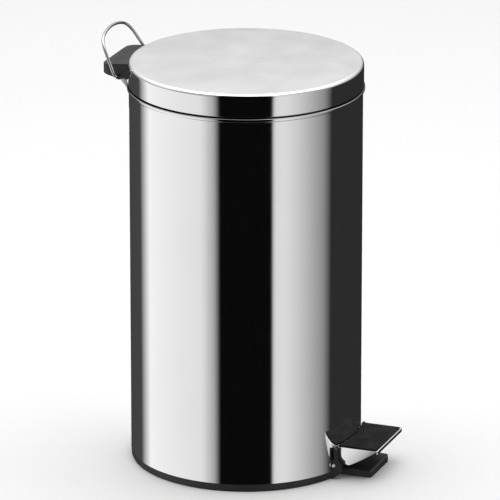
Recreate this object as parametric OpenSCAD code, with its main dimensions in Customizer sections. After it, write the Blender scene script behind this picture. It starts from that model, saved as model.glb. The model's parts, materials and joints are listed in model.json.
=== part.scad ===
// Round pedal bin: a steel body on a plastic base, a hinged steel lid,
// a pedal with its lever and push rod, an inner bucket and a wire carrying handle.
// Millimetres. The origin is on the body's axis at floor level.
// +Z is up, -Y is the pedal side and +Y is the hinge side.

/* [Body] */
// Outer diameter of the steel body
body_d = 280; // [276:1:290]
// Height of the rolled rim above the floor
rim_z = 468; // [440:1:500]
// Thickness of the sheet steel
sheet = 0.6; // [0.5:0.1:1]
// Height of the rolled bead around the rim
bead_h = 4.6; // [4:0.1:5]
// How far the bead stands out from the body
bead_out = 2.4; // [2:0.1:3]
// Height at which the steel body starts, above the visible base
base_h = 9.5; // [8:0.5:11]
// Height of the raised floor that the bucket stands on
floor_z = 50; // [49:1:56]

/* [Lid] */
// Height of the lid from its lower edge to its top edge
lid_h = 29; // [27:0.5:30]
// Radius of the rounded shoulder around the lid
shoulder_r = 4.5; // [4:0.5:7]
// Rise of the lid's centre above its edge
dome_h = 1.5; // [0.5:0.5:4]
// Opening angle of the lid in degrees
lid_open = 61; // [50:1:61]

/* [Hinge] */
// Distance of the hinge axis behind the body's wall
hinge_out = 7; // [6.5:0.5:8]
// Height of the hinge axis above the rim
hinge_up = 7.5; // [7:0.5:8]
// Width of the plastic hinge cover
cover_w = 86; // [84:1:90]
// Distance that the hinge cover reaches behind the body
cover_reach = 29.5; // [27:0.5:34]
// Distance between the outer faces of the bracket's cheeks
cheek_w = 72; // [70:1:73]

/* [Carrying handle] */
// Diameter of the handle's wire
wire_d = 3.6; // [3.2:0.1:4]
// Width between the feet of the handle
foot_w = 109; // [106:1:114]
// Width between the shoulders of the handle
top_w = 84; // [80:1:92]
// Height of the handle's shoulders above its axis
shoulder_v = 44.5; // [38:0.5:50]
// Rise of the arch above the shoulders
arch_h = 9.5; // [7:0.5:12]
// Radius of the shoulder bends
bend_r = 24.5; // [18:0.5:26]
// Backward lean of the handle from upright, in degrees
lean = 29; // [24:1:34]

/* [Pedal] */
// Width of the pedal's tread
tread_w = 90; // [86:1:91]
// Distance that the pedal reaches in front of the body
tread_reach = 46; // [40:1:50]
// Height of the steel tread above the floor
tread_z = 39.5; // [38:0.5:42]
// Height of the pedal's pin above the floor
pin_z = 17; // [16:0.5:18]
// Diameter of the pedal's pin
pin_d = 5; // [4:0.5:6]
// Width of the foot plate under the pedal
foot_plate_w = 64; // [56:1:70]
// Distance that the foot plate reaches in front of the body
foot_plate_reach = 33.5; // [28:0.5:36]

/* [Bucket] */
// Outer diameter of the bucket's wall at the top
bucket_top_d = 230; // [220:1:231]
// Outer diameter of the bucket's wall at the bottom
bucket_low_d = 210; // [200:1:212]
// Thickness of the bucket's wall
bucket_t = 2; // [1.5:0.25:2.5]

/* [Hidden] */
round_fn = 180;
small_fn = 48;

// Body and lid
body_r = body_d / 2;
inner_r = body_r - sheet;
bead_r = body_r + bead_out;
bead_round = (bead_r - inner_r) / 2;
lid_r = body_r + 1.1;
lid_gap = 0.5;
lid_z = rim_z + lid_gap;
lid_top = lid_z + lid_h;
dome_r = lid_r - shoulder_r;

// Hinge
hinge_y = body_r + hinge_out;
hinge_z = rim_z + hinge_up;
wire_r = wire_d / 2;
fit = 0.06;
foot_bend = 5;
cheek_t = 1.5;
cheek_x = cheek_w / 2;
cheek_r = 5.5;
boss_r = 5.5;
boss_in = cheek_x + 1.5;
cover_wall = 3;
cover_corner = 10;
cover_back = body_r + cover_reach;
cover_top_front = lid_top - 6;
cover_top_back = lid_top - 10;
plate_t = 1.5;
plate_low = rim_z - 34;
plate_high = rim_z - bead_h - 2;
rivet_r = 2;
head_r = 3.6;
head_t = 1.2;
bracket_rivet_angle = asin(22 / body_r);
bracket_rivet_z = [plate_low + 6, plate_high - 11];
crank_rivet_angle = asin(9 / lid_r);
crank_rivet_z = lid_z + 13;

// Mechanism
rod_d = 4;
rod_r = rod_d / 2;
rod_x = 7;
hook_x = -6;
hook_bend = 4;
rod_y = body_r - 19;
crank_arm = hinge_y - rod_y;
rod_top_z = hinge_z - crank_arm * tan(lid_open / 2);
rod_travel = 2 * crank_arm * tan(lid_open / 2);
pin_y = -(body_r - 7.5);
pin_r = pin_d / 2;
lever_arm = rod_y - pin_y;
pedal_press = asin(rod_travel / lever_arm);
lever_w = 34;
lever_t = 2.5;
lever_rear_z = 13;
lever_pin_z = pin_z + 5;
flange_t = 2;
ear_t = 2.5;
rod_low_z = lever_rear_z + lever_t + 7;
slot_half = rod_r + 0.9;
crank_t = 2.5;

// Pedal
tread_t = 1.5;
tread_front = -(body_r + tread_reach);
skirt_low_z = pin_z + 1;
skirt_low_y = -(body_r + 8);
skirt_back_y = -(body_r - 4);
skirt_round = 7;
lip_h = 4;
pad_t = 1.5;
pad_margin = 2;
tread_gap = 0.8;
ear_x = tread_w / 2 + 1;
ear_w = 6;
ear_back = pin_y + 7.5;
ear_top = pin_z + 6.5;
ear_round = 4;
strap_top = tread_z - 1;
strap_front = -(body_r - 4);
strap_back = -(body_r - 7.1);
strap_round = 1.5;
flare_low = pin_z + 0.5;
flare_r = 11;
flare_start = -65;
foot_plate_t = 8.4;
foot_plate_edge = 1.8;
lever_rivet_y = tread_front + 13;
lever_rivet_x = 9;

// Base
ring_r = body_r - 0.4;
ring_in_r = body_r - 4.5;
ring_lip_r = body_r - 16;
ring_top_z = 24;
pillar_r = 6;
pillar_circle = body_r - 16;
pillar_angles = [60, 120, 240, 300];
pad_angles = [20, 160, 200, 340];
screw_r = 1.75;
screw_head_r = 3.6;

// Bucket
bucket_z = floor_z + 1;
flange_z = rim_z - 5;
flange_r = body_r - 3.5;
bail_z = flange_z + 2.4;
bail_r = 125;
bail_wire_r = 2;
bail_bend = 6;
bail_lug_x = bail_r - bail_bend - 2;

// Points of an arc in a plane
function arc(cx, cy, r, a0, a1, n = 6) =
  [for (i = [0:n]) let (a = a0 + (a1 - a0) * i / n) [cx + r * cos(a), cy + r * sin(a)]];

// Height of the lid's outer surface at a distance from the axis
function dome(r) = lid_top + dome_h * (1 - pow(r / dome_r, 2));

// A side view, drawn as (y, z) points, extruded across X from x0 to x1
module across(x0, x1, points) {
  translate([x0, 0, 0])
    rotate([90, 0, 90])
      linear_extrude(x1 - x0)
        polygon(points);
}

// A cylinder along X from x0 to x1
module x_rod(x0, x1, y, z, r, fn = small_fn) {
  translate([x0, y, z])
    rotate([0, 90, 0])
      cylinder(r = r, h = x1 - x0, $fn = fn);
}

module both_sides() {
  children();
  mirror([1, 0, 0]) children();
}

// A block between two corners
module block(low, high) {
  translate(low) cube(high - low);
}

// A straight run of round wire between two points of the XY plane
module wire_run(p, q, r) {
  d = q - p;
  translate([p[0], p[1], 0])
    rotate([0, 0, atan2(d[1], d[0])])
      rotate([0, 90, 0])
        cylinder(r = r, h = norm(d), $fn = 32);
}

// A bend of round wire in the XY plane
module wire_bend(c, bend, r, a0, a1) {
  translate([c[0], c[1], 0])
    rotate([0, 0, a0])
      rotate_extrude(angle = a1 - a0, $fn = round_fn)
        translate([bend, 0]) circle(r = r, $fn = 32);
}

// ---------- Body ----------

module body_profile() {
  polygon(concat(
    [[inner_r, base_h], [body_r, base_h], [body_r, rim_z - bead_h]],
    arc(bead_r - bead_round, rim_z - bead_h + bead_round, bead_round, -90, 0),
    arc(bead_r - bead_round, rim_z - bead_round, bead_round, 0, 180, 12)
  ));
}

// Places for radial rivets on both sides of the hinge, each with its X axis outwards
module radial_places(angle, heights) {
  for (z = heights)
    both_sides()
      rotate([0, 0, 90 - angle])
        translate([0, 0, z]) children();
}

module bracket_rivet_bores() {
  radial_places(bracket_rivet_angle, bracket_rivet_z)
    x_rod(body_r - 12, body_r + 6, 0, 0, rivet_r);
}

module body_shell() {
  color("gainsboro")
  difference() {
    rotate_extrude($fn = round_fn) body_profile();
    // Notch for the pedal's pin and ears, and a higher one for the lever
    block([-ear_x - ear_w - 1, -body_r - 5, 0], [ear_x + ear_w + 1, -body_r / 2, ear_top + 1]);
    block([-lever_w / 2 - 4, -body_r - 5, 0], [lever_w / 2 + 4, -body_r / 2, ear_top + 6]);
    bracket_rivet_bores();
  }
}

module floor_plate() {
  color("silver")
  difference() {
    translate([0, 0, floor_z]) cylinder(r = inner_r - 0.1, h = 1, $fn = round_fn);
    // Slot for the push rod and the lever's end
    block([hook_x - 4, rod_y - 10, floor_z - 1], [rod_x + 6, rod_y + 10, floor_z + 2]);
    for (a = pillar_angles)
      rotate([0, 0, a])
        translate([pillar_circle, 0, floor_z - 1]) cylinder(r = screw_r, h = 3, $fn = small_fn);
  }
}

module ring_profile() {
  polygon([
    [ring_lip_r, 0], [ring_r - 1.2, 0], [ring_r, 2.5], [ring_r, base_h],
    [inner_r - 0.1, base_h], [inner_r - 0.1, ring_top_z], [ring_in_r, ring_top_z],
    [ring_in_r, 4], [ring_lip_r, 4]
  ]);
}

module foot_plate() {
  front = -(body_r + foot_plate_reach);
  w = foot_plate_w / 2;
  intersection() {
    across(-w, w, [[front, 0], [front, foot_plate_t - foot_plate_edge], [front + foot_plate_edge, foot_plate_t],
                   [-body_r - 4, base_h], [-body_r + 12, base_h], [-body_r + 12, 0]]);
    linear_extrude(ring_top_z)
      polygon(concat(arc(w - 4, front + 4, 4, -90, 0), [[w, -body_r + 12], [-w, -body_r + 12]],
                     arc(-w + 4, front + 4, 4, 180, 270)));
  }
}

// An ear for the pedal's pin, with a strap in front of the body up to the tread
module pedal_ear() {
  across(ear_x, ear_x + ear_w, concat(
    [[pin_y + 1, 0], [strap_front - flare_r * (1 - cos(flare_start)), base_h]],
    arc(strap_front - flare_r, flare_low + flare_r, flare_r, flare_start, 0),
    arc(strap_front + strap_round, strap_top - strap_round, strap_round, 180, 90),
    [[strap_back, strap_top], [strap_back, ear_top]],
    arc(ear_back - ear_round, ear_top - ear_round, ear_round, 90, 0),
    [[ear_back, 0]]));
}

module base_ring() {
  color("#1c1c1c")
  difference() {
    union() {
      rotate_extrude($fn = round_fn) ring_profile();
      foot_plate();
      both_sides() pedal_ear();
      for (a = pillar_angles)
        rotate([0, 0, a])
          translate([pillar_circle, 0, 0]) cylinder(r = pillar_r, h = floor_z, $fn = small_fn);
    }
    // Way through the ring for the lever
    block([-lever_w / 2 - 4, -body_r - 2, base_h - 1], [lever_w / 2 + 4, -body_r + 20, ring_top_z + 1]);
    block([-lever_w / 2 - 4, -body_r + 2, 6], [lever_w / 2 + 4, -body_r + 20, ring_top_z + 1]);
    x_rod(-ear_x - ear_w - 1, ear_x + ear_w + 1, pin_y, pin_z, pin_r);
    for (a = pillar_angles)
      rotate([0, 0, a])
        translate([pillar_circle, 0, -1]) {
          cylinder(r = 4, h = floor_z - 5, $fn = small_fn);
          cylinder(r = screw_r, h = floor_z + 2, $fn = small_fn);
        }
    for (a = pad_angles)
      rotate([0, 0, a])
        translate([ring_lip_r + 7, 0, -1]) cylinder(r = 5.5, h = 3.5, $fn = small_fn);
  }
}

module floor_pads() {
  color("dimgray")
  for (a = pad_angles)
    rotate([0, 0, a])
      translate([ring_lip_r + 7, 0, 0]) cylinder(r = 5.5, h = 2.5, $fn = small_fn);
}

module base_screws() {
  color("lightgray")
  for (a = pillar_angles)
    rotate([0, 0, a])
      translate([pillar_circle, 0, floor_z - 9]) {
        cylinder(r = screw_head_r, h = 3, $fn = small_fn);
        cylinder(r = screw_r, h = 12, $fn = small_fn);
      }
}

// ---------- Hinge, fixed half ----------

module hinge_cheek() {
  foot_y = body_r - 4.5;
  across(cheek_x - cheek_t, cheek_x, concat(
    [[foot_y, plate_high - 8], [foot_y + 1.5, plate_high - 5]],
    arc(hinge_y, hinge_z, cheek_r, -60, 170, 10),
    [[bead_r - 3, hinge_z - 6], [bead_r - 3, plate_high], [foot_y, plate_high]]));
}

module hinge_bracket() {
  half = asin(cheek_x / (body_r + plate_t));
  color("silver")
  difference() {
    union() {
      rotate([0, 0, 90 - half])
        rotate_extrude(angle = 2 * half, $fn = round_fn)
          translate([body_r, plate_low]) square([plate_t, plate_high - plate_low]);
      both_sides() hinge_cheek();
    }
    x_rod(-cheek_x - 1, cheek_x + 1, hinge_y, hinge_z, wire_r + fit);
    bracket_rivet_bores();
  }
}

module bracket_rivets() {
  face = body_r + plate_t;
  color("lightgray")
  radial_places(bracket_rivet_angle, bracket_rivet_z) {
    x_rod(body_r - 4.5, face + head_t, 0, 0, rivet_r);
    x_rod(face, face + head_t, 0, 0, head_r);
  }
}

// Guide that keeps the push rod upright, on the same rivets as the bracket
module rod_guide() {
  low = bracket_rivet_z[0] - 6;
  high = bracket_rivet_z[0] + 6;
  half = asin(30 / inner_r);
  color("silver")
  difference() {
    union() {
      rotate([0, 0, 90 - half])
        rotate_extrude(angle = 2 * half, $fn = round_fn)
          translate([inner_r - plate_t, low]) square([plate_t, high - low]);
      block([rod_x - 7, rod_y - 3.8, low], [rod_x + 7, inner_r - 1.2, low + plate_t]);
    }
    translate([rod_x, rod_y, low - 1]) cylinder(r = rod_r + fit, h = 4, $fn = small_fn);
    bracket_rivet_bores();
  }
}

// ---------- Bucket ----------

module bucket_profile() {
  top_r = bucket_top_d / 2;
  low_r = bucket_low_d / 2;
  t = bucket_t;
  polygon(concat(
    [[0, bucket_z]],
    arc(low_r - 4, bucket_z + 4, 4, -90, 0),
    [[top_r, flange_z - t], [flange_r - t, flange_z - t], [flange_r - t, flange_z - 8],
     [flange_r, flange_z - 8]],
    arc(flange_r - 1, flange_z - 1, 1, 0, 90, 3),
    [[top_r - t, flange_z], [low_r - t, bucket_z + 4]],
    [[low_r - t - 2, bucket_z + t], [0, bucket_z + t]]
  ));
}

module bucket() {
  color("#3a3a3c")
  difference() {
    union() {
      rotate_extrude($fn = round_fn) bucket_profile();
      both_sides()
        across(bail_lug_x - 3, bail_lug_x, concat(
          [[-5, flange_z - 1]], arc(0, bail_z + 1, 5, 180, 0, 10), [[5, flange_z - 1]]));
    }
    // Notch in the rim for the crank and the push rod
    block([-14, bucket_top_d / 2 - 5, rod_top_z - 10], [rod_x + 9, body_r, flange_z + 1]);
    x_rod(-bail_lug_x - 1, bail_lug_x + 1, 0, bail_z, bail_wire_r + fit);
  }
}

module bucket_handle() {
  color("silver")
  translate([0, 0, bail_z]) {
    wire_bend([0, -bail_bend], bail_r, bail_wire_r, 180, 360);
    both_sides() {
      wire_bend([bail_r - bail_bend, -bail_bend], bail_bend, bail_wire_r, 0, 90);
      wire_run([bail_r - bail_bend, 0], [bail_lug_x - 6, 0], bail_wire_r);
    }
  }
}

// ---------- Lid ----------

module lid_profile() {
  steps = 6;
  outer = [for (i = [steps:-1:0]) let (r = dome_r * i / steps) [r, dome(r)]];
  inner = [for (i = [0:steps]) let (r = dome_r * i / steps) [r, dome(r) - sheet]];
  polygon(concat(
    [[lid_r, lid_z]],
    arc(dome_r, lid_top - shoulder_r, shoulder_r, 0, 80, 8),
    outer, inner,
    arc(dome_r, lid_top - shoulder_r, shoulder_r - sheet, 80, 0, 8),
    [[lid_r - sheet, lid_z]]
  ));
}

module crank_rivet_bores() {
  radial_places(crank_rivet_angle, [crank_rivet_z])
    x_rod(lid_r - 8, lid_r + 6, 0, 0, rivet_r);
}

module lid_shell() {
  color("gainsboro")
  difference() {
    rotate_extrude($fn = round_fn) lid_profile();
    crank_rivet_bores();
  }
}

// Outline of the cover from above, inset by a margin
module cover_plan(inset) {
  w = cover_w / 2 - inset;
  back = cover_back - inset;
  r = cover_corner;
  polygon(concat([[w, body_r - 20]], arc(w - r, back - r, r, 0, 90), arc(r - w, back - r, r, 90, 180),
                 [[-w, body_r - 20]]));
}

module hinge_cover() {
  w = cover_w / 2;
  front = body_r - 15;
  slope = (cover_top_front - cover_top_back) / (cover_back - front);
  outer = [[front, cover_top_front], [cover_back, cover_top_back], [cover_back, rim_z + 8.4],
           [hinge_y + 3, hinge_z - 3.4], [front, hinge_z - 4.6]];
  inner = [[front, cover_top_front - cover_wall], [cover_back, cover_top_back - cover_wall],
           [cover_back, rim_z - 10], [front, rim_z - 10]];
  color("#242426")
  difference() {
    union() {
      difference() {
        intersection() {
          across(-w, w, outer);
          linear_extrude(lid_top + 10) cover_plan(0);
        }
        // Hollow for the bracket's cheeks, open underneath
        difference() {
          intersection() {
            across(-w + cover_wall, w - cover_wall, inner);
            linear_extrude(lid_top + 10) cover_plan(cover_wall);
          }
          intersection() {
            cylinder(r = lid_r + cover_wall, h = lid_top + 10, $fn = round_fn);
            block([cheek_t + 1 - cheek_x, 0, 0], [cheek_x - cheek_t - 1, cover_back, lid_top + 10]);
          }
        }
      }
      both_sides() x_rod(boss_in, w, hinge_y, hinge_z, boss_r);
    }
    // The lid's skirt stands here
    cylinder(r = lid_r, h = lid_top + 10, $fn = round_fn);
    x_rod(-w - 1, w + 1, hinge_y, hinge_z, wire_r + fit);
    crank_rivet_bores();
  }
}

// Slotted arm inside the lid that the push rod lifts
module lid_crank() {
  a = -lid_open / 2;
  r0 = crank_arm - 1;
  r1 = crank_arm / cos(a) + 1;
  half = asin(15 / lid_r);
  pin = [rod_y, rod_top_z];
  color("silver")
  difference() {
    union() {
      rotate([0, 0, 90 - half])
        rotate_extrude(angle = 2 * half, $fn = round_fn)
          translate([lid_r - sheet - plate_t, lid_z + 5]) square([plate_t, 16]);
      across(-crank_t / 2, crank_t / 2, concat(
        [[lid_r - sheet - 1, lid_z + 5], [lid_r - sheet - 1, lid_z + 20]],
        [[rod_y + 4, rod_top_z + 16]],
        arc(pin[0] - 1.5, pin[1] - 1, 7.5, 140, 320, 8),
        [[rod_y + 9, rod_top_z - 1]]));
    }
    // Slot along the arm's own radius
    translate([0, hinge_y, hinge_z])
      rotate([-a, 0, 0]) {
        x_rod(-2, 2, -r0, 0, slot_half);
        x_rod(-2, 2, -r1, 0, slot_half);
        block([-2, -r1, -slot_half], [2, -r0, slot_half]);
      }
    crank_rivet_bores();
  }
}

module crank_rivets() {
  inside = lid_r - sheet - plate_t - 0.05;
  outside = lid_r + cover_wall;
  color("lightgray")
  radial_places(crank_rivet_angle, [crank_rivet_z]) {
    x_rod(inside - head_t, outside + head_t, 0, 0, rivet_r);
    x_rod(inside - head_t, inside, 0, 0, head_r);
    x_rod(outside, outside + head_t, 0, 0, head_r);
  }
}

// ---------- Pedal ----------

// Outline of the tread from above, its back edge following the body's wall
module tread_plan(inset, r) {
  w = tread_w / 2 - inset;
  front = tread_front + inset;
  difference() {
    polygon(concat(arc(w - r, front + r, r, -90, 0, 4), [[w, skirt_back_y], [-w, skirt_back_y]],
                   arc(r - w, front + r, r, 180, 270, 4)));
    circle(r = body_r + tread_gap + inset / 8, $fn = round_fn);
  }
}

module pedal_skirt() {
  top = tread_z - tread_t / 2;
  r = skirt_round;
  across(tread_w / 2 - tread_t, tread_w / 2, concat(
    [[tread_front + 2, top], [tread_front + 2, tread_z - lip_h]],
    arc(skirt_low_y - 1, skirt_low_z + r, r, 250, 270, 3),
    arc(skirt_back_y - r, skirt_low_z + r + 1, r, 285, 360, 6),
    [[skirt_back_y, top]]));
}

module pedal_plate() {
  w = tread_w / 2;
  color("gainsboro")
  difference() {
    union() {
      translate([0, 0, tread_z - tread_t]) linear_extrude(tread_t) tread_plan(0, 2);
      block([-w + 2, tread_front, tread_z - lip_h], [w - 2, tread_front + tread_t, tread_z - tread_t / 2]);
      both_sides() pedal_skirt();
    }
    both_sides()
      translate([lever_rivet_x, lever_rivet_y, 0]) cylinder(r = rivet_r, h = tread_z + 5, $fn = small_fn);
  }
}

module pedal_pad() {
  color("#202020")
  translate([0, 0, tread_z])
    difference() {
      linear_extrude(pad_t) tread_plan(pad_margin, 2);
      both_sides()
        translate([lever_rivet_x, lever_rivet_y, -1]) cylinder(r = head_r + 0.2, h = 1.9, $fn = small_fn);
    }
}

module pedal_lever() {
  w = lever_w / 2;
  rear = rod_y + 7;
  rise_y = tread_front + 30;
  under = tread_z - tread_t;
  t = lever_t;
  pin_web = [pin_y - 13, pin_y + 20];
  color("silver")
  difference() {
    union() {
      across(-w, w, [
        [rear, lever_rear_z], [rear, lever_rear_z + t], [pin_web[1], lever_pin_z + t],
        [pin_web[0], lever_pin_z + t], [rise_y, under], [tread_front + 5, under],
        [tread_front + 5, under - t], [rise_y + 1.6, under - t], [pin_web[0] + 1.6, lever_pin_z],
        [pin_web[1], lever_pin_z]]);
      both_sides()
        across(w - flange_t, w, concat(
          [[pin_web[1], lever_pin_z + 1]],
          arc(pin_y + 12, pin_z - 0.5, 7, -20, -90),
          arc(pin_y - 3, pin_z - 0.5, 7, -90, -160),
          [[pin_web[0] + 1, lever_pin_z + 1]]));
      // Ear at the rear end for the push rod
      across(-ear_t / 2, ear_t / 2, [
        [rod_y - 7, lever_rear_z + 1], [rod_y - 7, rod_low_z + 2], [rod_y - 3, rod_low_z + 6],
        [rod_y + 5, rod_low_z + 6], [rear, rod_low_z + 3], [rear, lever_rear_z + 1]]);
    }
    x_rod(-w - 1, w + 1, pin_y, pin_z, 4);
    x_rod(-2, 2, rod_y, rod_low_z, rod_r + 0.3);
    x_rod(-2, 2, rod_y + 2.7, rod_low_z, rod_r + 0.3);
    block([-2, rod_y, rod_low_z - rod_r - 0.3], [2, rod_y + 2.7, rod_low_z + rod_r + 0.3]);
    both_sides()
      translate([lever_rivet_x, lever_rivet_y, 0]) cylinder(r = rivet_r, h = tread_z, $fn = small_fn);
  }
}

module lever_rivets() {
  under = tread_z - tread_t - lever_t;
  color("lightgray")
  both_sides()
    translate([lever_rivet_x, lever_rivet_y, 0]) {
      translate([0, 0, under - 1]) cylinder(r = head_r, h = 1, $fn = small_fn);
      translate([0, 0, under - 1]) cylinder(r = rivet_r, h = tread_z - under + 1.8, $fn = small_fn);
      translate([0, 0, tread_z]) cylinder(r = head_r, h = 0.8, $fn = small_fn);
    }
}

module pivot_bushes() {
  w = lever_w / 2;
  color("#303030")
  both_sides()
    difference() {
      union() {
        x_rod(w - flange_t - 0.5, w + 0.5, pin_y, pin_z, 4);
        x_rod(w, w + 1.5, pin_y, pin_z, 5.5);
      }
      x_rod(w - flange_t - 1, w + 3, pin_y, pin_z, pin_r + fit);
    }
}

module pedal_pin() {
  end = ear_x + ear_w;
  color("lightgray") {
    x_rod(-end, end, pin_y, pin_z, pin_r);
    both_sides()
      translate([end, pin_y, pin_z])
        rotate([0, 90, 0])
          cylinder(r1 = pin_r, r2 = pin_r - 0.8, h = 0.8, $fn = small_fn);
  }
}

module pin_clips() {
  x0 = lever_w / 2 + 1.8;
  color("silver")
  both_sides()
    difference() {
      x_rod(x0, x0 + 1, pin_y, pin_z, pin_r + 2);
      x_rod(x0 - 1, x0 + 2, pin_y, pin_z, pin_r);
    }
}

// ---------- Push rod ----------

module push_rod() {
  turn = rod_x - hook_bend;
  color("lightgray")
  translate([0, rod_y, 0])
    rotate([90, 0, 0]) {
      wire_run([hook_x, rod_top_z], [turn, rod_top_z], rod_r);
      wire_bend([turn, rod_top_z - hook_bend], hook_bend, rod_r, 0, 90);
      wire_run([rod_x, rod_low_z + hook_bend], [rod_x, rod_top_z - hook_bend], rod_r);
      wire_bend([turn, rod_low_z + hook_bend], hook_bend, rod_r, 270, 360);
      wire_run([hook_x, rod_low_z], [turn, rod_low_z], rod_r);
    }
}

module rod_clips() {
  color("silver")
  for (z = [rod_low_z, rod_top_z])
    difference() {
      x_rod(hook_x + 1.2, hook_x + 2.4, rod_y, z, rod_r + 2);
      x_rod(hook_x, hook_x + 4, rod_y, z, rod_r);
    }
}

// ---------- Carrying handle ----------

// Centres of wire rings along an arc: x, y and the direction of the arc's radius
function ring_path(c, r, a0, a1, n) =
  [for (i = [0:n]) let (a = a0 + (a1 - a0) * i / n) [c[0] + r * cos(a), c[1] + r * sin(a), a]];

// Points around the wire, one ring for each place on the path
function ring_points(path, r, sides) =
  [for (p = path) for (k = [0:sides - 1]) let (f = 360 * k / sides)
    [p[0] + r * cos(f) * cos(p[2]), p[1] + r * cos(f) * sin(p[2]), r * sin(f)]];

// A round wire in the XY plane, closed at both ends
module wire_sweep(path, r, sides) {
  last = len(path) - 1;
  polyhedron(
    ring_points(path, r, sides),
    concat(
      [[for (k = [sides - 1:-1:0]) k]],
      [for (i = [0:last - 1]) for (k = [0:sides - 1]) let (a = i * sides, m = (k + 1) % sides)
        [a + k, a + m, a + sides + m, a + sides + k]],
      [[for (k = [0:sides - 1]) last * sides + k]]));
}

module carry_handle() {
  foot = [foot_w / 2, 0];
  top = [top_w / 2, shoulder_v];
  leg = (top - foot) / norm(top - foot);
  inward = [-leg[1], leg[0]];
  leg_angle = atan2(leg[1], leg[0]);
  // The arch is a circle through both shoulders and the crown
  arch_r = (pow(top[0], 2) + pow(arch_h, 2)) / (2 * arch_h);
  arch_c = [0, shoulder_v + arch_h - arch_r];
  // Centre of the shoulder bend, tangent to the leg and to the arch
  start = foot + bend_r * inward - arch_c;
  along = leg * start;
  reach = arch_r - bend_r;
  run = -along + sqrt(pow(along, 2) - (start * start - pow(reach, 2)));
  bend_c = foot + bend_r * inward + run * leg;
  arch_a = atan2(bend_c[1] - arch_c[1], bend_c[0]);
  // The foot bend joins the leg to the in-turned end
  foot_c = [foot[0] - foot_bend / tan((180 - leg_angle) / 2), foot_bend];
  end_x = cheek_x - cheek_t - 3;
  path = concat(
    [[foot_c[0] - 1, 0, -90]],
    ring_path(foot_c, foot_bend, -90, leg_angle - 90, 5),
    ring_path(bend_c, bend_r, leg_angle - 90, arch_a, 6),
    ring_path(arch_c, arch_r, arch_a, 180 - arch_a, 8),
    ring_path([-bend_c[0], bend_c[1]], bend_r, 180 - arch_a, 270 - leg_angle, 6),
    ring_path([-foot_c[0], foot_c[1]], foot_bend, 270 - leg_angle, 270, 5),
    [[1 - foot_c[0], 0, 270]]);
  color("lightgray")
  translate([0, hinge_y, hinge_z])
    rotate([90 - lean, 0, 0]) {
      wire_sweep(path, wire_r - 0.02, 12);
      both_sides() x_rod(end_x, foot_c[0], 0, 0, wire_r);
    }
}

body_shell();
floor_plate();
base_ring();
floor_pads();
base_screws();
hinge_bracket();
bracket_rivets();
rod_guide();
pedal_pin();
pin_clips();
bucket();
bucket_handle();
lid_shell();
hinge_cover();
lid_crank();
crank_rivets();
pedal_plate();
pedal_pad();
pedal_lever();
lever_rivets();
pivot_bushes();
push_rod();
rod_clips();
carry_handle();
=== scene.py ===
"""Looks of the round pedal bin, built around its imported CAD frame.

The steel body, lid, bead and wire handle are smooth sheets and sweeps. The other
parts are the CAD shapes with rounded edges. Metres, in the CAD frame: +Z is up,
-Y is the pedal side and +Y the hinge side.
"""

import json
import math

import bmesh
import bpy
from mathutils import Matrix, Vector

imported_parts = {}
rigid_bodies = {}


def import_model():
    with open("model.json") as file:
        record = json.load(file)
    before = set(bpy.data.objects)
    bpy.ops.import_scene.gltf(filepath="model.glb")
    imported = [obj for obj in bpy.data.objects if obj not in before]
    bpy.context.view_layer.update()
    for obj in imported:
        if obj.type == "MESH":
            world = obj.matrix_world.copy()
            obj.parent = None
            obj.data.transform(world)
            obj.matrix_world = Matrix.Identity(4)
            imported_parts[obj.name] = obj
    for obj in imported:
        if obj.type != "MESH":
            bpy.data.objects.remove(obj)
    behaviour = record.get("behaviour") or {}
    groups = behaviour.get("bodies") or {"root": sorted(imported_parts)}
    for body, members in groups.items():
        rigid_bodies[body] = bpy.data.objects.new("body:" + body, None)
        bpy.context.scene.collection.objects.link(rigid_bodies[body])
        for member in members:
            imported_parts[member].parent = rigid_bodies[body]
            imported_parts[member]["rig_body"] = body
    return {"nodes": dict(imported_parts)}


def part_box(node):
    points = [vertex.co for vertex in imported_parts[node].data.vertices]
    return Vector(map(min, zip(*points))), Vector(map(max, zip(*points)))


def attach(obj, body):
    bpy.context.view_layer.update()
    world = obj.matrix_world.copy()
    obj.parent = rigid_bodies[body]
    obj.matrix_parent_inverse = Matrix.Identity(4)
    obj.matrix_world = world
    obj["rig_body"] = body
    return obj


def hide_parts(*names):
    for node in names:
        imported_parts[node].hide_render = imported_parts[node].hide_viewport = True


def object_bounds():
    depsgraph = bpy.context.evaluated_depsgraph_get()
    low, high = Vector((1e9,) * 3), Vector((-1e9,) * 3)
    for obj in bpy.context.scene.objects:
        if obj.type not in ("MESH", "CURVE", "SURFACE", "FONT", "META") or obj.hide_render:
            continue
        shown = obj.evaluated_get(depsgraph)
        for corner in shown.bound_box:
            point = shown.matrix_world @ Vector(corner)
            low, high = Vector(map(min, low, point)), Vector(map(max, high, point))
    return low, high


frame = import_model()
cad_low, cad_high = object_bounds()
MM = 0.001


# ---------- Sizes, read from the frame ----------

shell_low, shell_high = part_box("body_shell")
lid_low, lid_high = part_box("lid_shell")
cover_low, cover_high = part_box("hinge_cover")
pin_low, pin_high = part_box("pedal_pin")
handle_low, handle_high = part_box("carry_handle")
bracket_low, bracket_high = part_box("hinge_bracket")

SHEET = 0.6 * MM
BEAD_OUT = 2.4 * MM
BEAD_H = 4.6 * MM
BEAD_R = shell_high.x
BODY_R = BEAD_R - BEAD_OUT
BASE_H = shell_low.z
RIM_Z = shell_high.z
PIN_Z = (pin_low.z + pin_high.z) / 2

LID_R = lid_high.x
LID_Z = lid_low.z
LID_DOME = 1.5 * MM
LID_TOP = lid_high.z - LID_DOME
SHOULDER_R = 4.5 * MM

HINGE_Y = BODY_R + 7 * MM
HINGE_Z = RIM_Z + 7.5 * MM
# The joint between the bead and the lid's hemmed skirt, with painted shade darkening the bead's top there
LID_GAP = 1.3 * MM
HEM_R = 0.35 * MM
SHADE_BAND_DEPTH = 0.7 * MM
SHADE_BAND_FADE = 0.3 * MM

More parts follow.
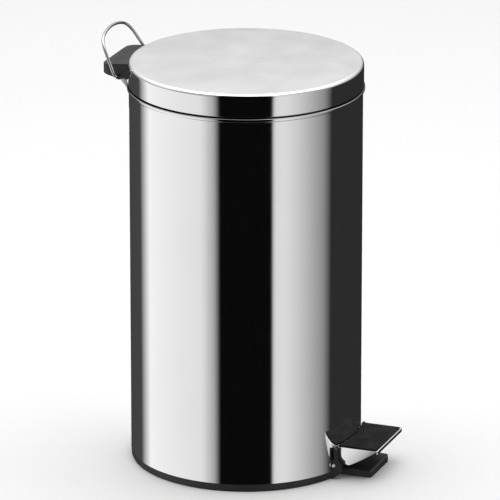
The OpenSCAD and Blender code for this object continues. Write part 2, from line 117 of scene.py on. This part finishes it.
# The carrying handle: places across its plane and up it, from the hinge axis
WIRE_R = 1.8 * MM
WIRE_END_X = 31.5 * MM
HANDLE_FOOT = Vector((54.5, 0)) * MM
HANDLE_SHOULDER = Vector((42, 44.5)) * MM
HANDLE_ARCH = 9.5 * MM
HANDLE_BEND = 24.5 * MM
HANDLE_FOOT_BEND = 5 * MM
HANDLE_LEAN = math.radians(29)

# Half width and height of the pedal's notch in the body, and of the lever's higher one
NOTCHES = [(53 * MM, PIN_Z + 7.5 * MM), (21 * MM, PIN_Z + 12.5 * MM)]


# ---------- Mesh helpers ----------

def finish_mesh(name, mesh, body, material, sharp=35):
    """Makes a smooth-shaded piece with crisp corners, riding on a body."""
    mesh.shade_smooth()
    mesh.set_sharp_from_angle(angle=math.radians(sharp))
    piece = bpy.data.objects.new(name, mesh)
    bpy.context.scene.collection.objects.link(piece)
    for m in material if isinstance(material, list) else [material]:
        mesh.materials.append(m)
    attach(piece, body)
    return piece


def mesh_of(name, verts, faces):
    mesh = bpy.data.meshes.new(name)
    mesh.from_pydata([tuple(v) for v in verts], [], faces)
    mesh.update()
    return mesh


def arc(centre, r, start, end, steps):
    """Points of an arc in a plane, angles in degrees."""
    turn = [math.radians(start + (end - start) * i / steps) for i in range(steps + 1)]
    return [(centre[0] + r * math.cos(a), centre[1] + r * math.sin(a)) for a in turn]


def line(start, end, steps):
    """Points from start up to, but without, end."""
    return [tuple(s + (e - s) * i / steps for s, e in zip(start, end)) for i in range(steps)]


def revolve(name, profile, angles, skip=None):
    """A sheet of revolution from (radius, height) points. skip(x, y, z) leaves a face out."""
    n = len(angles)
    verts, faces = [], []
    for r, z in profile:
        verts += [(r * math.sin(a), -r * math.cos(a), z) for a in angles]
    for i in range(len(profile) - 1):
        for k in range(n):
            m = (k + 1) % n
            face = [i * n + k, i * n + m, (i + 1) * n + m, (i + 1) * n + k]
            mid = sum((Vector(verts[v]) for v in face), Vector()) / 4
            if not (skip and skip(*mid)):
                faces.append(face)
    return mesh_of(name, verts, faces)


def even_angles(n, extra=()):
    """n even angles round the axis, measured from the pedal side, with a few exact ones put in."""
    step = 2 * math.pi / n
    kept = [i * step - math.pi for i in range(n)]
    kept = [a for a in kept if all(abs(a - e) > step / 3 for e in extra)]
    return sorted(kept + list(extra))


def thicken(piece, thickness, sharp=50):
    """Gives a sheet its thickness, inwards from its outer face, with crisp rims."""
    solid = piece.modifiers.new("sheet", "SOLIDIFY")
    solid.thickness = thickness
    solid.offset = -1
    solid.use_even_offset = True
    made = bpy.data.meshes.new_from_object(piece.evaluated_get(bpy.context.evaluated_depsgraph_get()))
    piece.modifiers.clear()
    piece.data = made
    made.shade_smooth()
    made.set_sharp_from_angle(angle=math.radians(sharp))


def rounded(node, material, width, segments=3, sharp=35, angle=28):
    """The CAD shape of a node with its edges rounded to a width, as a piece that stands for it."""
    source = frame["nodes"][node]
    made = bmesh.new()
    made.from_mesh(source.data)
    bmesh.ops.remove_doubles(made, verts=made.verts, dist=2e-6)
    bmesh.ops.dissolve_limit(made, angle_limit=math.radians(0.4), verts=made.verts, edges=made.edges)
    limit = math.radians(angle)
    edges = [e for e in made.edges if len(e.link_faces) == 2 and e.calc_face_angle(0) > limit]
    if width:
        bmesh.ops.bevel(made, geom=edges, offset=width, offset_type="OFFSET", segments=segments,
                        profile=0.5, affect="EDGES", clamp_overlap=True)
    bmesh.ops.triangulate(made, faces=[f for f in made.faces if len(f.verts) > 4])
    mesh = bpy.data.meshes.new(node + "_finish")
    made.to_mesh(mesh)
    made.free()
    piece = finish_mesh(node + "_finish", mesh, source["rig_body"], material, sharp)
    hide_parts(node)
    return piece


def sweep(name, path, radius, sides=20):
    """A round wire along a path of points, closed at both ends."""
    count = len(path)
    verts, faces = [], []
    side = None
    for i, p in enumerate(path):
        ahead = (path[min(i + 1, count - 1)] - path[max(i - 1, 0)]).normalized()
        side = (side or ahead.orthogonal()).copy()
        side = (side - ahead * side.dot(ahead)).normalized()
        up = ahead.cross(side)
        for k in range(sides):
            a = 2 * math.pi * k / sides
            verts.append(p + radius * (math.cos(a) * side + math.sin(a) * up))
    for i in range(count - 1):
        for k in range(sides):
            m = (k + 1) % sides
            faces.append([i * sides + k, i * sides + m, (i + 1) * sides + m, (i + 1) * sides + k])
    faces.append(list(range(sides))[::-1])
    faces.append([(count - 1) * sides + k for k in range(sides)])
    return mesh_of(name, verts, faces)


# ---------- Materials ----------

class Look:
    """A Principled material, with methods that add procedural detail to it."""

    def __init__(self, name, color, roughness, metallic=0.0, **sockets):
        self.material = bpy.data.materials.new(name)
        self.material.use_nodes = True
        self.tree = self.material.node_tree
        self.shader = self.tree.nodes["Principled BSDF"]
        self.color = color
        self.set("Base Color", (*color, 1))
        self.set("Roughness", roughness)
        self.set("Metallic", metallic)
        for socket, value in sockets.items():
            self.set(socket.replace("_", " "), value)
        self.place = self.node("ShaderNodeTexCoord").outputs["Object"]
        self.normal = None

    def set(self, socket, value):
        self.shader.inputs[socket].default_value = value

    def node(self, kind, **inputs):
        made = self.tree.nodes.new(kind)
        for name, value in inputs.items():
            made.inputs[name].default_value = value
        return made

    def link(self, out, to):
        self.tree.links.new(out, to)

    def noise(self, scale, stretch=(1, 1, 1), detail=3.0, where=None):
        """A noise texture. stretch multiplies the scale along each axis."""
        mapping = self.node("ShaderNodeMapping", Scale=stretch)
        self.link(where or self.place, mapping.inputs["Vector"])
        noise = self.node("ShaderNodeTexNoise", Scale=scale, Detail=detail)
        self.link(mapping.outputs[0], noise.inputs["Vector"])
        return noise.outputs["Fac"]

    def round_place(self):
        """Coordinates (arc length, height, radius) around the Z axis, for marks that run round the part."""
        parts = self.node("ShaderNodeSeparateXYZ")
        self.link(self.place, parts.inputs[0])
        angle = self.node("ShaderNodeMath")
        angle.operation = "ARCTAN2"
        self.link(parts.outputs["X"], angle.inputs[0])
        self.link(parts.outputs["Y"], angle.inputs[1])
        length = self.node("ShaderNodeMath")
        length.operation = "MULTIPLY"
        length.inputs[1].default_value = BODY_R
        self.link(angle.outputs[0], length.inputs[0])
        radius = self.node("ShaderNodeVectorMath")
        radius.operation = "LENGTH"
        flat = self.node("ShaderNodeCombineXYZ")
        self.link(parts.outputs["X"], flat.inputs["X"])
        self.link(parts.outputs["Y"], flat.inputs["Y"])
        self.link(flat.outputs[0], radius.inputs[0])
        joined = self.node("ShaderNodeCombineXYZ")
        self.link(length.outputs[0], joined.inputs["X"])
        self.link(parts.outputs["Z"], joined.inputs["Y"])
        self.link(radius.outputs["Value"], joined.inputs["Z"])
        return joined.outputs[0]

    def spread(self, fac, low, high, inside=(0.3, 0.7)):
        """Maps a texture's middle range onto low to high."""
        span = self.node("ShaderNodeMapRange")
        span.inputs["From Min"].default_value = inside[0]
        span.inputs["From Max"].default_value = inside[1]
        span.inputs["To Min"].default_value = low
        span.inputs["To Max"].default_value = high
        self.link(fac, span.inputs["Value"])
        return span.outputs["Result"]

    def vary_color(self, fac, darkest):
        """Darkens the colour, at most to its share darkest, where the texture is low."""
        mix = self.node("ShaderNodeMix")
        mix.data_type = "RGBA"
        mix.inputs[6].default_value = (*(c * darkest for c in self.color), 1)
        mix.inputs[7].default_value = (*self.color, 1)
        self.link(self.spread(fac, 0, 1), mix.inputs[0])
        self.link(mix.outputs[2], self.shader.inputs["Base Color"])

    def paint_joint_shade(self, low, high, share):
        """Paints shade into the colour: darkens it to a share between two heights, where a joint's shadow
        falls.
        """
        parts = self.node("ShaderNodeSeparateXYZ")
        self.link(self.place, parts.inputs[0])
        mix = self.node("ShaderNodeMix")
        mix.data_type = "RGBA"
        mix.inputs[7].default_value = (*(c * share for c in self.color), 1)
        above = self.spread(parts.outputs["Z"], 0, 1, (low, low + SHADE_BAND_FADE))
        below = self.spread(parts.outputs["Z"], 0, 1, (high + SHADE_BAND_FADE, high))
        both = self.node("ShaderNodeMath")
        both.operation = "MULTIPLY"
        self.link(above, both.inputs[0])
        self.link(below, both.inputs[1])
        self.link(both.outputs[0], mix.inputs[0])
        self.link(self.shader.inputs["Base Color"].links[0].from_socket, mix.inputs[6])
        self.link(mix.outputs[2], self.shader.inputs["Base Color"])

    def vary_roughness(self, fac, low, high):
        self.link(self.spread(fac, low, high), self.shader.inputs["Roughness"])

    def bump(self, fac, distance, strength=1.0):
        """Adds one layer of relief on top of those before."""
        bump = self.node("ShaderNodeBump", Strength=strength, Distance=distance)
        self.link(fac, bump.inputs["Height"])
        if self.normal:
            self.link(self.normal, bump.inputs["Normal"])
        self.normal = bump.outputs[0]
        self.link(self.normal, self.shader.inputs["Normal"])


def polished_steel():
    """Mirror-polished sheet with faint polishing lines round the bin and a few duller patches."""
    look = Look("polished_steel", (0.93, 0.93, 0.94), 0.045, 1.0)
    around = look.round_place()
    look.vary_color(look.noise(9, detail=2), 0.975)
    look.vary_roughness(look.noise(14, detail=5), 0.035, 0.06)
    look.bump(look.noise(60, (1, 40, 1), where=around), 0.0000016)
    # Painted shade: a dark band on the bead's top, under the lid's lower edge
    look.paint_joint_shade(RIM_Z - SHADE_BAND_DEPTH, RIM_Z + MM, 0.06)
    return look.material


def satin_lid():
    """Fine satin finish, its grain running round the lid's centre."""
    look = Look("lid_satin", (0.86, 0.86, 0.865), 0.36, 1.0)
    around = look.round_place()
    look.vary_color(look.noise(7, detail=3), 0.965)
    look.vary_roughness(look.noise(22, detail=4), 0.33, 0.4)
    look.bump(look.noise(50, (1, 1, 60), detail=4, where=around), 0.00001)
    return look.material


def lid_polish():
    """Polished skirt of the lid."""
    look = Look("lid_polish", (0.93, 0.93, 0.94), 0.045, 1.0)
    look.vary_color(look.noise(11, detail=2), 0.97)
    look.vary_roughness(look.noise(17, detail=5), 0.035, 0.06)
    look.bump(look.noise(60, (1, 40, 1), where=look.round_place()), 0.0000016)
    return look.material


def chrome(name, tint, roughness):
    """Bright chrome with a slight orange-peel relief."""
    look = Look(name, (tint, tint, tint * 1.01), roughness, 1.0)
    look.vary_color(look.noise(25), 0.96)
    look.vary_roughness(look.noise(90, detail=5), roughness * 0.8, roughness * 1.5)
    look.bump(look.noise(260, detail=2), 0.000006)
    return look.material


def zinc_steel():
    """Zinc-plated sheet and wire, with soft spangle and rolling marks."""
    look = Look("zinc_steel", (0.62, 0.63, 0.64), 0.34, 1.0)
    look.vary_color(look.noise(70, detail=5), 0.8)
    look.vary_roughness(look.noise(45, detail=6), 0.26, 0.46)
    look.bump(look.noise(600, (1, 0.15, 1), detail=2), 0.00001)
    return look.material


def moulded(name, color, roughness, grain, relief, specular=0.4):
    """Black moulded plastic or rubber with a fine grain and faint flow marks."""
    look = Look(name, color, roughness, Specular_IOR_Level=specular)
    look.vary_color(look.noise(30, detail=4), 0.72)
    look.vary_roughness(look.noise(55, detail=4), roughness * 0.88, min(1, roughness * 1.12))
    look.bump(look.noise(grain, detail=2), relief)
    look.bump(look.noise(18, detail=1), relief * 6, 0.35)
    return look.material


POLISHED = polished_steel()
LID_TOP_STEEL = satin_lid()
LID_SKIRT_STEEL = lid_polish()
PEDAL_CHROME = chrome("pedal_chrome", 0.97, 0.1)
WIRE_CHROME = chrome("wire_chrome", 0.62, 0.09)
ZINC = zinc_steel()
BASE_BLACK = moulded("base_black", (0.032, 0.032, 0.033), 0.55, 1500, 0.00002)
COVER_BLACK = moulded("cover_black", (0.036, 0.036, 0.037), 0.5, 1700, 0.00002, 0.35)
BUCKET_GREY = moulded("bucket_grey", (0.045, 0.045, 0.05), 0.42, 1200, 0.000015)
BUSH_BLACK = moulded("bush_black", (0.03, 0.03, 0.03), 0.45, 2200, 0.00001)
FOOT_RUBBER = moulded("foot_rubber", (0.05, 0.05, 0.05), 0.8, 1400, 0.00003, 0.25)
TREAD_RUBBER = moulded("tread_rubber", (0.008, 0.008, 0.008), 0.7, 1500, 0.00002, 0.15)


# ---------- The steel sheets ----------

def in_notch(x, y, z):
    return y < 0 and any(abs(x) < half and z < top for half, top in NOTCHES)


def body_tube():
    """The steel tube, rolled outwards into a hollow bead at the rim, with the pedal's notch."""
    bead = (BEAD_R - BODY_R + SHEET) / 2
    centre_r = BEAD_R - bead
    profile = [(BODY_R, BASE_H)]
    profile += [(BODY_R, top) for _, top in NOTCHES]
    profile += line((BODY_R, 2 * NOTCHES[1][1]), (BODY_R, RIM_Z - BEAD_H), 12)
    profile += [(BODY_R, RIM_Z - BEAD_H)]
    profile += arc((centre_r, RIM_Z - BEAD_H + bead), bead, -75, 0, 8)
    profile += arc((centre_r, RIM_Z - bead), bead, 0, 225, 18)
    edges = [math.asin(half / BODY_R) for half, _ in NOTCHES]
    angles = even_angles(360, [s * e for e in edges for s in (-1, 1)])
    mesh = revolve("body_tube", profile, angles, in_notch)
    piece = finish_mesh("body_tube", mesh, "bin", POLISHED, 50)
    thicken(piece, SHEET)
    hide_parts("body_shell")


def body_seam():
    """The fine welded seam down the back of the tube, below the hinge bracket."""
    half, out = 0.6 * MM, 0.12 * MM
    low, high = BASE_H + MM, bracket_low.z
    across = [-half, -half / 2, 0, half / 2, half]
    rise = [-0.1 * MM, 0.7 * out, out, 0.7 * out, -0.1 * MM]
    steps = 120
    verts, faces = [], []
    for i in range(steps + 1):
        z = low + (high - low) * i / steps
        ripple = 1 + 0.25 * math.sin(i * 2.1)
        for x, r in zip(across, rise):
            verts.append((x, math.sqrt(BODY_R**2 - x**2) + r * (ripple if r > 0 else 1), z))
    n = len(across)
    for i in range(steps):
        for k in range(n - 1):
            faces.append([i * n + k + 1, i * n + k, (i + 1) * n + k, (i + 1) * n + k + 1])
    piece = finish_mesh("body_seam", mesh_of("body_seam", verts, faces), "bin", POLISHED, 60)
    thicken(piece, 0.2 * MM)


def lid_sheet():
    """The lid: a hemmed skirt, a rounded shoulder and a shallow dome."""
    dome_r = LID_R - SHOULDER_R
    hem_z = LID_Z + LID_GAP
    profile = arc((LID_R - HEM_R, hem_z + HEM_R), HEM_R, -120, 0, 6)
    profile += line((LID_R, hem_z + 2 * HEM_R), (LID_R, LID_TOP - SHOULDER_R), 3)
    profile += arc((dome_r, LID_TOP - SHOULDER_R), SHOULDER_R, 0, 86, 16)
    # The satin finish starts a little way down the shoulder
    skirt_rows = len(profile) - 7
    steps = 28
    for i in range(steps):
        r = dome_r * (1 - i / steps) * 0.998
        profile.append((r, LID_TOP + LID_DOME * (1 - (r / dome_r) ** 3)))
    profile.append((0.4 * MM, LID_TOP + LID_DOME - 1e-6))
    n = 360
    mesh = revolve("lid_sheet", profile, even_angles(n))
    # The dome's last small ring is closed by one face
    made = bmesh.new()
    made.from_mesh(mesh)
    made.verts.ensure_lookup_table()
    made.faces.new(made.verts[-n:])
    made.to_mesh(mesh)
    made.free()
    piece = finish_mesh("lid_sheet", mesh, "lid", [LID_TOP_STEEL, LID_SKIRT_STEEL], 60)
    for face in mesh.polygons[: skirt_rows * n]:
        face.material_index = 1
    thicken(piece, SHEET)
    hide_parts("lid_shell")


def handle_outline():
    """Half of the wire's centre line in its own plane, from its end in the hinge to the arch's top."""
    foot, shoulder = HANDLE_FOOT, HANDLE_SHOULDER
    leg = (shoulder - foot).normalized()
    inward = Vector((-leg.y, leg.x))
    leg_angle = math.degrees(math.atan2(leg.y, leg.x))
    arch_r = (shoulder.x**2 + HANDLE_ARCH**2) / (2 * HANDLE_ARCH)
    arch_c = Vector((0, shoulder.y + HANDLE_ARCH - arch_r))
    # The shoulder's bend touches both the leg and the arch
    start = foot + HANDLE_BEND * inward - arch_c
    along = leg.dot(start)
    run = -along + math.sqrt(along**2 - (start.dot(start) - (arch_r - HANDLE_BEND) ** 2))
    bend_c = foot + HANDLE_BEND * inward + run * leg
    arch_a = math.degrees(math.atan2(bend_c.y - arch_c.y, bend_c.x))
    foot_in = HANDLE_FOOT_BEND / math.tan(math.radians((180 - leg_angle) / 2))
    foot_c = Vector((foot.x - foot_in, HANDLE_FOOT_BEND))
    half = line((WIRE_END_X, 0), (foot_c.x, 0), 4)
    half += arc(foot_c, HANDLE_FOOT_BEND, -90, leg_angle - 90, 12)
    half += arc(bend_c, HANDLE_BEND, leg_angle - 90, arch_a, 16)
    half += arc(arch_c, arch_r, arch_a, 90, 12)[1:]
    return half


def handle_wire():
    """The carrying handle's bent wire, leaning back from the hinge axis."""
    half = handle_outline()
    outline = half + [(-x, y) for x, y in half[::-1][1:]]
    lean_y, lean_z = math.sin(HANDLE_LEAN), math.cos(HANDLE_LEAN)
    path = [Vector((x, HINGE_Y + y * lean_y, HINGE_Z + y * lean_z)) for x, y in outline]
    mesh = sweep("handle_wire", path, WIRE_R - 0.02 * MM)
    piece = finish_mesh("handle_wire", mesh, "carry_handle", WIRE_CHROME)
    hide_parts("carry_handle")


def cad_parts():
    """The remaining nodes: their CAD shapes with rounded edges."""
    rounded("base_ring", BASE_BLACK, 0.5 * MM)
    rounded("hinge_cover", COVER_BLACK, 0.9 * MM, 4)
    rounded("pedal_pad", TREAD_RUBBER, 0.4 * MM)
    rounded("pedal_plate", PEDAL_CHROME, 0.45 * MM)
    rounded("bucket", BUCKET_GREY, 0.4 * MM)
    rounded("floor_pads", FOOT_RUBBER, 0.3 * MM)
    rounded("pivot_bushes", BUSH_BLACK, 0.15 * MM)
    rounded("bucket_handle", WIRE_CHROME, 0)
    rounded("pedal_pin", WIRE_CHROME, 0.2 * MM)
    zinc_edges = {"floor_plate": 0.15, "base_screws": 0.25, "hinge_bracket": 0.25, "bracket_rivets": 0.3,
                  "rod_guide": 0.2, "pin_clips": 0.1, "lid_crank": 0.25, "crank_rivets": 0.3,
                  "pedal_lever": 0.3, "lever_rivets": 0.2, "push_rod": 0.2, "rod_clips": 0.1}
    for node, width in zinc_edges.items():
        rounded(node, ZINC, width * MM)


body_tube()
body_seam()
lid_sheet()
handle_wire()
cad_parts()


# ---------- Camera, floor and light ----------

AZIMUTH, ELEVATION = math.radians(-69), math.radians(18.58)
DISTANCE = 7.0
LENS = 417.5
AIM_FROM_CENTRE = Vector((5.65, 2.64, -4.65)) * MM
# Level directions towards the camera and to its right, as seen from the bin
TOWARDS = Vector((math.sin(AZIMUTH), -math.cos(AZIMUTH), 0))
SIDEWAYS = Vector((math.cos(AZIMUTH), math.sin(AZIMUTH), 0))
FLOOR_R = 6.0
FLOOR_DROP = 0.1 * MM


def make_camera():
    aim = (cad_low + cad_high) / 2 + AIM_FROM_CENTRE
    back = TOWARDS * math.cos(ELEVATION) + Vector((0, 0, math.sin(ELEVATION)))
    data = bpy.data.cameras.new("camera")
    data.lens = LENS
    data.clip_end = 100
    camera = bpy.data.objects.new("camera", data)
    bpy.context.scene.collection.objects.link(camera)
    camera.location = aim + DISTANCE * back
    camera.rotation_euler = (-back).to_track_quat("-Z", "Y").to_euler()
    bpy.context.scene.camera = camera


def make_floor():
    n = 96
    turns = [2 * math.pi * k / n for k in range(n)]
    verts = [(0, 0, 0)] + [(FLOOR_R * math.cos(a), FLOOR_R * math.sin(a), 0) for a in turns]
    faces = [[0, 1 + k, 1 + (k + 1) % n] for k in range(n)]
    floor = bpy.data.objects.new("floor", mesh_of("floor", verts, faces))
    bpy.context.scene.collection.objects.link(floor)
    floor.location.z = cad_low.z - FLOOR_DROP
    look = Look("floor_white", (0.93, 0.93, 0.93), 0.9, Specular_IOR_Level=0.1)
    look.vary_color(look.noise(3), 0.99)
    floor.data.materials.append(look.material)
    floor.visible_glossy = False


# Studio cards round the bin: (degrees round from the camera's side, brightness). The upright steel sees
# the ones below the horizon.
LOW_CARDS = [
    (-180, 0.05), (-129, 0.06), (-111, 0.97), (-100, 0.93), (-46, 0.8), (-42, 0.72), (-32, 0.4),
    (-26, 0.003), (25, 0.003), (27, 0.5), (29, 0.72), (35, 0.76), (40, 0.75), (53, 0.62), (67, 0.45),
    (82, 0.28), (93, 0.026), (180, 0.026),
]
# The same cards above the horizon, where the lid's shoulder and the bead see them
HIGH_CARDS = [
    (-180, 0.3), (-120, 0.4), (-35, 0.38), (-26, 0.003), (25, 0.003), (29, 0.7), (53, 0.6), (82, 0.3),
    (100, 0.1), (125, 0.45), (165, 0.45), (180, 0.3),
]
# Brightness of the light above the cards, by the height of its direction (1 is straight up)
SKY = [(0.0, 0.25), (0.24, 0.44), (0.32, 0.62), (0.4, 0.8), (0.6, 1.1), (0.9, 1.35)]
# How steeply the cards' upper edge rises towards the camera's side
CARD_SLOPE = 3.2
# Grey straight below the bin
NADIR = (0.03, 0.03, 0.03, 1)
BACKDROP = (1, 1, 1, 1)


def make_world():
    """A studio of tall cards round the bin, soft white light above it, and a white backdrop."""
    world = bpy.data.worlds.new("studio")
    bpy.context.scene.world = world
    world.use_nodes = True
    world.cycles.sampling_method = "NONE"
    tree = world.node_tree
    tree.nodes.clear()

    def node(kind, operation=None, **values):
        """A node. _1=x sets its input number 1."""
        made = tree.nodes.new(kind)
        if operation:
            made.operation = operation
        for name, value in values.items():
            made.inputs[int(name[1:])].default_value = value
        return made

    def join(out, to):
        tree.links.new(out, to)

    direction = node("ShaderNodeTexCoord").outputs["Generated"]
    sideways = node("ShaderNodeVectorMath", "DOT_PRODUCT", _1=SIDEWAYS)
    towards = node("ShaderNodeVectorMath", "DOT_PRODUCT", _1=TOWARDS)
    join(direction, sideways.inputs[0])
    join(direction, towards.inputs[0])
    angle = node("ShaderNodeMath", "ARCTAN2")
    join(sideways.outputs["Value"], angle.inputs[0])
    join(towards.outputs["Value"], angle.inputs[1])
    share = node("ShaderNodeMath", "MULTIPLY_ADD", _1=1 / (2 * math.pi), _2=0.5)
    join(angle.outputs[0], share.inputs[0])
    height = node("ShaderNodeSeparateXYZ")
    join(direction, height.inputs[0])

    def ramp_of(stops, source, degrees=False):
        """Grey levels along a source that runs from 0 to 1, or round the bin in degrees."""
        made = node("ShaderNodeValToRGB")
        join(source, made.inputs[0])
        while len(made.color_ramp.elements) < len(stops):
            made.color_ramp.elements.new(1)
        for element, (position, level) in zip(made.color_ramp.elements, stops):
            element.position = position / 360 + 0.5 if degrees else position
            element.color = (level, level, level, 1)
        return made.outputs[0]

    def fade(source, start, end):
        """0 at start, 1 at end."""
        made = node("ShaderNodeMapRange", None, _1=start, _2=end)
        join(source, made.inputs[0])
        return made.outputs[0]

    def blend(share_of_second, first, second):
        made = node("ShaderNodeMix")
        made.data_type = "RGBA"
        join(share_of_second, made.inputs[0])
        join(first, made.inputs[6])
        if isinstance(second, tuple):
            made.inputs[7].default_value = second
        else:
            join(second, made.inputs[7])
        return made.outputs[2]

    z = height.outputs["Z"]
    cards = blend(fade(z, -0.03, 0.04), ramp_of(LOW_CARDS, share.outputs[0], True),
                  ramp_of(HIGH_CARDS, share.outputs[0], True))
    cards = blend(fade(z, -0.75, -0.9), cards, NADIR)
    edge = node("ShaderNodeMath", "MULTIPLY_ADD", _1=-CARD_SLOPE)
    join(towards.outputs["Value"], edge.inputs[0])
    join(z, edge.inputs[2])
    lowest = node("ShaderNodeMath", "MINIMUM")
    join(edge.outputs[0], lowest.inputs[0])
    join(z, lowest.inputs[1])
    around = blend(fade(lowest.outputs[0], -0.02, 0.08), cards, ramp_of(SKY, z))
    seen = node("ShaderNodeMix")
    seen.data_type = "RGBA"
    join(node("ShaderNodeLightPath").outputs["Is Camera Ray"], seen.inputs[0])
    join(around, seen.inputs[6])
    seen.inputs[7].default_value = BACKDROP
    light = node("ShaderNodeBackground")
    join(seen.outputs[2], light.inputs[0])
    join(light.outputs[0], node("ShaderNodeOutputWorld").inputs[0])


def softbox(name, place, look_at, size, power):
    data = bpy.data.lights.new(name, "AREA")
    data.shape = "RECTANGLE"
    data.size, data.size_y = size
    data.energy = power
    lamp = bpy.data.objects.new(name, data)
    bpy.context.scene.collection.objects.link(lamp)
    lamp.location = place
    lamp.rotation_euler = (Vector(look_at) - Vector(place)).to_track_quat("-Z", "Y").to_euler()
    lamp.visible_camera = False


make_camera()
make_floor()
make_world()
softbox("overhead", (0, 0, 2.6), (0, 0, 0), (3.0, 3.0), 30)
bpy.context.scene.view_settings.view_transform = "Standard"
